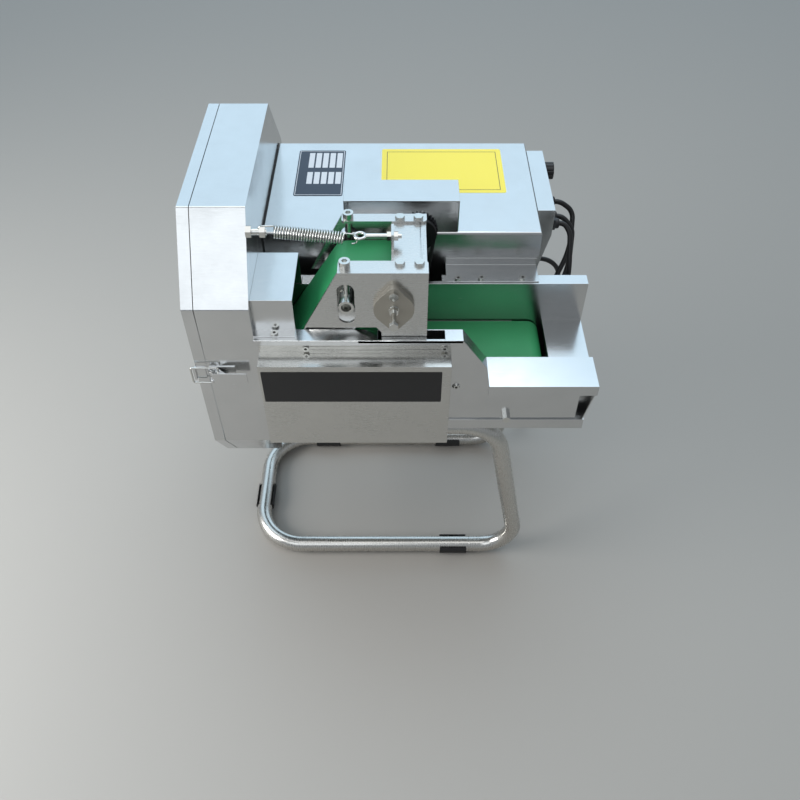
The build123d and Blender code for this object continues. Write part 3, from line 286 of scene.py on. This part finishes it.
# %% Dress the CAD nodes
finishes = {
    sheet_steel: [
        "chassis_tray", "throat_front_wall", "trough_front_wall", "feed_ledge", "rear_wall",
        "bed_plates", "knife_housing", "knife_door", "motor_box", "gear_hood",
        "fixing_bracket", "mouth_cover", "control_box", "latch_base", "latch_lever",
        "door_fittings", "housing_hinge", "stand_saddles"],
    cover_steel: ["front_drive_cover"],
    press_steel: ["press_plate_front", "press_plate_rear", "cross_plate", "nose_frame"],
    tube_steel: ["floor_loop", "uprights"],
    turned_steel: [
        "lower_drive_roller", "tail_roller", "cross_shaft", "top_idler_roller",
        "nose_roller", "upper_drive_roller", "press_fasteners", "press_axles", "spring",
        "latch_bail", "knife_shaft", "knife_blades", "knife_fasteners", "frame_screws"],
    cast_metal: [
        "shaft_bearings", "press_bearings", "knife_bearings", "knife_disc", "motor_pulley"],
    belting: ["lower_belt", "upper_belt"],
    rubber: ["foot_pads", "feed_drive_belt", "press_drive_belt", "knife_belt"],
    cable_skin: ["control_leads", "mains_cord", "cord_coil"],
    black_plastic: ["control_fittings", "power_switch", "speed_knob", "plug"],
    blackened: ["idler_gear", "pinion"],
    motor_enamel: ["motors"],
}
for material, names in finishes.items():
    for name in names:
        for slot in frame["nodes"][name].material_slots:
            slot.material = material
print("dressed", sum(len(names) for names in finishes.values()), "of", len(frame["nodes"]))

# %% [markdown]
# A CAD mesh has knife-sharp edges, and a real folded or sheared one catches a
# thin line of light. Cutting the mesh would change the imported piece. A Weld
# modifier that joins the loose triangles and a Bevel with hardened normals give
# the same line and leave the mesh itself alone. Large folded sheets have a
# wider bend than cut and turned pieces.

# %% Soften the edges
sharp_edge, folded_edge = 0.35, 0.8
folded_sheets = ("knife_housing", "knife_door", "motor_box")


def soften(name, width):
    """Round a CAD node's edges by this many millimetres."""
    node = frame["nodes"][name]
    if "custom_normal" in node.data.attributes:
        node.data.attributes.remove(node.data.attributes["custom_normal"])
    node.data.shade_smooth()
    weld = node.modifiers.new("weld", "WELD")
    weld.merge_threshold = 0.005 * mm
    bevel = node.modifiers.new("edge", "BEVEL")
    bevel.width = width * mm
    bevel.segments = 2
    bevel.limit_method = "ANGLE"
    bevel.angle_limit = radians(32)
    bevel.use_clamp_overlap = True
    bevel.harden_normals = True


for name in frame["nodes"]:
    soften(name, folded_edge if name in folded_sheets else sharp_edge)
print("softened", len(frame["nodes"]), "nodes")

# %% [markdown]
# The floor is one pale grey sheet, large enough that the camera sees no
# horizon. It is plain, because it only carries the machine's shadow.

# %% Floor
floor_half = 6.0


def mesh_object(name, mesh_data, material):
    """A bmesh as an object in the scene, with one material."""
    mesh = bpy.data.meshes.new(name)
    mesh_data.to_mesh(mesh)
    mesh_data.free()
    mesh.materials.append(material)
    made = bpy.data.objects.new(name, mesh)
    scene.collection.objects.link(made)
    return made


floor_paint, _, surface, _ = new_material("studio_floor_grey")
surface.inputs["Base Color"].default_value = linear("#9F9B95")
surface.inputs["Roughness"].default_value = 0.6
bm = bmesh.new()
bmesh.ops.create_grid(bm, x_segments=1, y_segments=1, size=floor_half)
floor = mesh_object("floor", bm, floor_paint)
floor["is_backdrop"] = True

# %% [markdown]
# Steel has no colour of its own and shows what it mirrors, so the light is
# chosen by face. The sloping front of the housing looks forward and up, at a
# soft panel beside the camera. Upright fronts only see the floor. A panel at the
# left, aimed at the floor, makes that side paler than the right, and a large dim
# one overhead fills the shadows. Each is set by how bright it looks, so that a
# change of its size doesn't change its reflection.

# %% Lamps
def soft_panel(name, place, target, size, radiance, colour="#FFFFFF"):
    """A rectangle of light in metres, at place, that faces target."""
    lamp = bpy.data.objects.new(name, bpy.data.lights.new(name, "AREA"))
    lamp.data.shape = "RECTANGLE"
    lamp.data.size, lamp.data.size_y = size
    lamp.data.energy = radiance * pi * size[0] * size[1]
    lamp.data.color = linear(colour)[:3]
    lamp.location = place
    lamp.rotation_euler = (Vector(target) - Vector(place)).to_track_quat("-Z", "Y").to_euler()
    scene.collection.objects.link(lamp)
    print(name, round(lamp.data.energy, 1), "W")


soft_panel("front_panel", (-0.62, -1.55, 1.62), (-0.2, -0.1, 0.45), (1.2, 1.0), 1.35, "#F4FAFF")
soft_panel("overhead_panel", (0.15, 0.1, 2.4), (0, 0, 0.3), (2.4, 2.4), 1.15)
soft_panel("left_panel", (-1.7, -0.5, 0.95), (-0.55, -0.35, 0.0), (1.1, 1.1), 8.0)

# %% [markdown]
# The level tops look up and back, at a wide pale blue glow. A lamp there would
# show its edges in the sheet, so the world itself brightens smoothly toward that
# direction.

# %% World
glow_toward = (0.0, 0.74, 0.67)
glow_starts, glow_full = 0.62, 0.88   # cosine of the angle from that direction
world = bpy.data.worlds.new("studio")
scene.world = world
world.use_nodes = True
sky = world.node_tree
sky.nodes.clear()
seen = add(sky, "ShaderNodeTexCoord").outputs["Generated"]
closeness = add(sky, "ShaderNodeVectorMath", {1: glow_toward}, {0: seen},
                operation="DOT_PRODUCT")
glow = add(sky, "ShaderNodeMapRange", {"From Min": glow_starts, "From Max": glow_full},
           {"Value": closeness.outputs["Value"]}, interpolation_type="SMOOTHSTEP")
tone = add(sky, "ShaderNodeMix", {"A": linear("#7F8387"), "B": linear("#CDE6F8")},
           {"Factor": glow.outputs["Result"]}, data_type="RGBA")
air = add(sky, "ShaderNodeBackground", {"Strength": 1.5}, {"Color": tone.outputs["Result"]})
add(sky, "ShaderNodeOutputWorld", links={"Surface": air.outputs["Background"]})

# %% [markdown]
# The mains cord leaves a tapered gland under the control box, falls behind the
# trough and lies in a neat coil behind the stand. The CAD has it in two solids.
# Here it is one NURBS curve, because a cord is one piece and a curve of its
# true thickness bends evenly. Its control points follow the solids' route.

# %% The mains cord's fall to the floor
cord_r, cord_low = 3.5, 3.6
coil_x, coil_y, coil_r, coil_stub = 90.0, 326.0, 42.0, 28.0
route = [
    (190, 238, 416), (210.5, 238, 416), (228.6, 239.3, 405.5), (239.1, 241.4, 387.4),
    (239.5, 246.2, 363.9), (235.5, 255, 325.1), (233.5, 259.8, 265.3), (235, 261, 205),
    (232, 263.5, 150), (229, 262, 100), (226.5, 262, 60), (226, 263, 36.4),
    (226, 275, 15.6), (224.8, 295.8, cord_low), (218, 325, cord_low),
    (199, 352, cord_low), (170, 369, cord_low),
    (141, coil_y + coil_r + cord_r, cord_low),
    (coil_x + coil_stub, coil_y + coil_r + cord_r, cord_low)]
print("points down to the coil", len(route))

# %% [markdown]
# The coil has three and a half turns of one cord, and they can't share a place.
# The first turn lies outside the second, and the rest lie on top of them,
# inside first and then outside.

# %% Its coil
steps_per_turn = 16
turns = 3.5
steps_in_all = round(turns * steps_per_turn)
goes_inside, climbs, goes_outside = 0.3, 0.52, 0.74   # shares of the coil
for step in range(1, steps_in_all):
    share = step / steps_in_all
    angle = pi / 2 + 2 * pi * step / steps_per_turn
    outward = -1.0 if goes_inside <= share < goes_outside else 1.0
    layer = 0.0 if share < climbs else 2.0
    radius = coil_r + outward * cord_r
    route.append((coil_x + radius * cos(angle), coil_y + radius * sin(angle),
                  cord_low + layer * cord_r))
route.append((coil_x + coil_stub, coil_y - coil_r - cord_r, cord_low + 2 * cord_r))
print("points in all", len(route))


# %% The cord as one curve
def tube_curve(name, points, radius, material):
    """A round tube along measured points, as one NURBS curve with closed ends."""
    curve = bpy.data.curves.new(name, "CURVE")
    curve.dimensions = "3D"
    curve.bevel_depth = radius * mm
    curve.bevel_resolution = 4
    curve.use_fill_caps = True
    line = curve.splines.new("NURBS")
    line.points.add(len(points) - 1)
    for knot, point in zip(line.points, points):
        knot.co = (*at(*point), 1.0)
    line.order_u = 3
    line.use_endpoint_u = True
    line.resolution_u = 6
    curve.materials.append(material)
    made = bpy.data.objects.new(name, curve)
    scene.collection.objects.link(made)
    return made


cord = tube_curve("mains_lead", route, cord_r, cable_skin)
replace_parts(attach(cord, "frame"), "mains_cord", "cord_coil")

# %% [markdown]
# The tension spring pulls the press head to the left, so the press belt bears
# on the food. The solid is only a tube of its outer size. The real one is a
# close-wound wire with a hook at each end: one round the stud, one through the
# eye bolt. A curve follows the wire's middle, and is then turned into a mesh.

# %% The spring's wire
wire_r, spring_r = 1.0, 7.0
left_end, right_end = Vector((-145.0, 45.0, 603.0)), Vector((-65.0, 45.0, 594.0))
coils, steps_per_coil, hook_steps = 26, 12, 8
hook_neck, hook_reach = 10.0, 7.2
axis = (right_end - left_end).normalized()
side = Vector((0, 1, 0))
rise = axis.cross(side)


def hook(end, outward):
    """A half ring that stands off one end of the spring, from top to bottom."""
    points = []
    for step in range(1, hook_steps + 1):
        a = pi * step / hook_steps
        away = outward * (hook_neck + hook_reach * sin(a))
        points.append(end + away + rise * (spring_r * cos(a)))
    return points


winding = []
for step in range(coils * steps_per_coil + 1):
    a = 2 * pi * step / steps_per_coil
    on_axis = left_end + (right_end - left_end) * (step / (coils * steps_per_coil))
    winding.append(on_axis + (side * sin(a) + rise * cos(a)) * spring_r)
wire = hook(left_end, -axis)[::-1] + winding + hook(right_end, axis)
print("spring", coils, "coils,", len(wire), "points")

# %% The spring as a mesh
spring_curve = tube_curve("spring_wire", wire, wire_r, turned_steel)
spring_curve.data.bevel_resolution = 2
spring_curve.data.splines[0].resolution_u = 2
bpy.context.view_layer.update()
coil_mesh = bpy.data.meshes.new_from_object(spring_curve)
coil_mesh.shade_smooth()
bpy.data.objects.remove(spring_curve)
spring = bpy.data.objects.new("tension_spring", coil_mesh)
scene.collection.objects.link(spring)
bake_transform(spring)
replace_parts(spring, "spring")

# %% [markdown]
# Three printed plates sit on the sheet metal. Here they stay blank: a black
# strip on the drive cover, a navy rating plate with a pale line and empty pale
# fields, and a yellow notice with a dark line on the motor box. Each is a
# thin solid and not a picture, so its edge catches light as real film does.
# Printed film is smooth, and only dust varies its shine.

# %% Printed film
def film(name, colour, roughness=0.35):
    """Smooth printed film, with dust that varies its shine."""
    material, tree, surface, place = new_material(name)
    surface.inputs["Base Color"].default_value = linear(colour)
    dust = add(tree, "ShaderNodeTexNoise", {"Scale": per_mm(12), "Detail": 5.0},
               {"Vector": place})
    rough = add(tree, "ShaderNodeMapRange",
                {"To Min": roughness - 0.08, "To Max": roughness + 0.12},
                {"Value": dust.outputs["Fac"]})
    tree.links.new(rough.outputs["Result"], surface.inputs["Roughness"])
    return material


black_film = film("printed_film_black", "#131214")
navy_film = film("printed_film_navy", "#14263C", 0.3)
pale_film = film("printed_film_white", "#D9DDE2")
yellow_film = film("printed_film_yellow", "#F3E14C")
brown_film = film("printed_film_brown", "#5A4A20")


# %% A plate and its printed lines
east, north, up = (1, 0, 0), (0, 1, 0), (0, 0, 1)
film_thick, line_thick = 0.15, 0.06
plate_corner, line_corner = 3, 0.1


def plate(name, material, centre, across, along, size, thick, corner=1.5, body="frame"):
    """A thin rectangle with rounded corners: across and along are its two directions."""
    across, along = Vector(across), Vector(along)
    bm = bmesh.new()
    bmesh.ops.create_grid(bm, x_segments=1, y_segments=1, size=0.5)
    bmesh.ops.scale(bm, vec=(size[0], size[1], 1), verts=bm.verts)
    bmesh.ops.bevel(bm, geom=bm.verts[:], offset=corner, affect="VERTICES", segments=4,
                    profile=0.5, material=-1)
    grown = bmesh.ops.extrude_face_region(bm, geom=bm.faces[:])
    top = [v for v in grown["geom"] if isinstance(v, bmesh.types.BMVert)]
    bmesh.ops.translate(bm, vec=(0, 0, thick), verts=top)
    bmesh.ops.recalc_face_normals(bm, faces=bm.faces)
    bmesh.ops.scale(bm, vec=(mm, mm, mm), verts=bm.verts)
    turn = Matrix((across, along, across.cross(along))).transposed().to_4x4()
    bmesh.ops.transform(bm, matrix=Matrix.Translation(at(*centre)) @ turn, verts=bm.verts)
    made = mesh_object(name, bm, material)
    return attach(made, body)


def outline(material, name, centre, size, width, height):
    """Four printed lines round a plate that lies level."""
    (x, y), (wide, deep) = centre, size
    for side in (-1, 1):
        plate(f"{name}_line_x{side}", material, (x, y + side * deep / 2, height),
              east, north, (wide + width, width), line_thick, line_corner)
        plate(f"{name}_line_y{side}", material, (x + side * wide / 2, y, height),
              east, north, (width, deep - width), line_thick, line_corner)


# %% The black strip and the rating plate
cover_face = -41.0
box_top = 541.0
strip_x, strip_z, strip_wide, strip_high = -58.5, 435, 219, 53
plate("strip_black", black_film, (strip_x, cover_face, strip_z), east, up,
      (strip_wide, strip_high), film_thick)

navy_left, navy_front, navy_wide, navy_deep, navy_thick = -143.0, 210.0, 66.0, 113.0, 0.4
navy_margin, pale_line = 4, 0.8
middle = (navy_left + navy_wide / 2, navy_front + navy_deep / 2)
plate("rating_plate", navy_film, (*middle, box_top), east, north, (navy_wide, navy_deep),
      navy_thick, plate_corner)
outline(pale_film, "rating", middle, (navy_wide - navy_margin, navy_deep - navy_margin),
        pale_line, box_top + navy_thick)
field_columns, field_first, field_pitch, field_wide = 5, 19, 9.8, 7.5
field_thick, field_corner = 0.08, 0.5
field_rows = ((238, 267), (278, 316))
for column in range(field_columns):
    for low, high in field_rows:
        field_x = navy_left + field_first + field_pitch * column
        plate(f"rating_field_{column}_{low}", pale_film,
              (field_x, (low + high) / 2, box_top + navy_thick), east, north,
              (field_wide, high - low), field_thick, field_corner)
print("blank fields", field_columns * len(field_rows))

# %% The yellow notice
notice_left, notice_front, notice_wide, notice_deep = -25.5, 217.0, 168.5, 110.0
notice_margin, dark_line = 15, 0.9
middle = (notice_left + notice_wide / 2, notice_front + notice_deep / 2)
plate("notice_panel", yellow_film, (*middle, box_top), east, north,
      (notice_wide, notice_deep), film_thick, plate_corner)
outline(brown_film, "notice", middle, (notice_wide - notice_margin, notice_deep - notice_margin),
        dark_line, box_top + film_thick)

# %% [markdown]
# Small things make sheet metal look made by hand. The round-headed screws have
# hexagon sockets, and one more of them stands on the trough's wall. A socket
# could be cut into each head, but at this distance a thin dark hexagon on it,
# painted shade for the socket's hollow, looks the same and leaves the solid alone.

# %% Screw sockets and one more screw
socket_r, socket_thick = 1.9, 0.12
head_r, head_top_r, head_height = 5.2, 3.2, 2.6


def disc(name, material, centre, facing, radius, height, sides=32, body="frame", top=None):
    """A short round or hexagonal piece that stands on a point and looks one way."""
    bm = bmesh.new()
    bmesh.ops.create_cone(bm, cap_ends=True, segments=sides, radius1=radius * mm,
                          radius2=(radius if top is None else top) * mm, depth=height * mm)
    bmesh.ops.translate(bm, vec=(0, 0, height * mm / 2), verts=bm.verts)
    turn = Vector(facing).to_track_quat("Z", "Y").to_matrix().to_4x4()
    bmesh.ops.transform(bm, matrix=Matrix.Translation(at(*centre)) @ turn, verts=bm.verts)
    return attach(mesh_object(name, bm, material), body)


forward = (0, -1, 0)
flange_head, flange_z = -16.95, 476   # outer faces of the heads, and a row's height
level_head = 494.0
wall_screw = (71.4, -14.0, 408.1)
sockets = [((x, flange_head, flange_z), forward) for x in (-114, 54)]
sockets += [((x, y, level_head), up)
            for x, y in ((-151, -6), (-151, 98), (75, 97), (105, 98), (158, 98))]
sockets.append(((wall_screw[0], wall_screw[1] - head_height, wall_screw[2]), forward))
disc("wall_screw_head", turned_steel, wall_screw, forward, head_r, head_height, top=head_top_r)
# Each dark hexagon is painted shade for a socket's hollow.
for number, (place, facing) in enumerate(sockets):
    disc(f"socket_{number}", socket_shade, place, facing, socket_r, socket_thick, sides=6)
print("sockets", len(sockets))

# %% [markdown]
# Where two sheets only touch, the joint is a dark line. The motor box meets the
# knife housing like that, so a thin dark strip marks it on the top and in front.

# %% The joint's dark lines
joint_shade = film("joint_shadow", "#1B1B1C", 0.7)
joint_x, joint_wide, joint_thick = -175.2, 1.4, 0.1
top_middle_y, top_deep = 236, 216
box_face, front_middle_z, front_high = 128, 516, 50
plate("box_joint_top", joint_shade, (joint_x, top_middle_y, box_top), east, north,
      (joint_wide, top_deep), joint_thick, line_corner)
plate("box_joint_front", joint_shade, (joint_x, box_face, front_middle_z), east, up,
      (joint_wide, front_high), joint_thick, line_corner)

# %% Sizes, and the end
low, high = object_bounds()
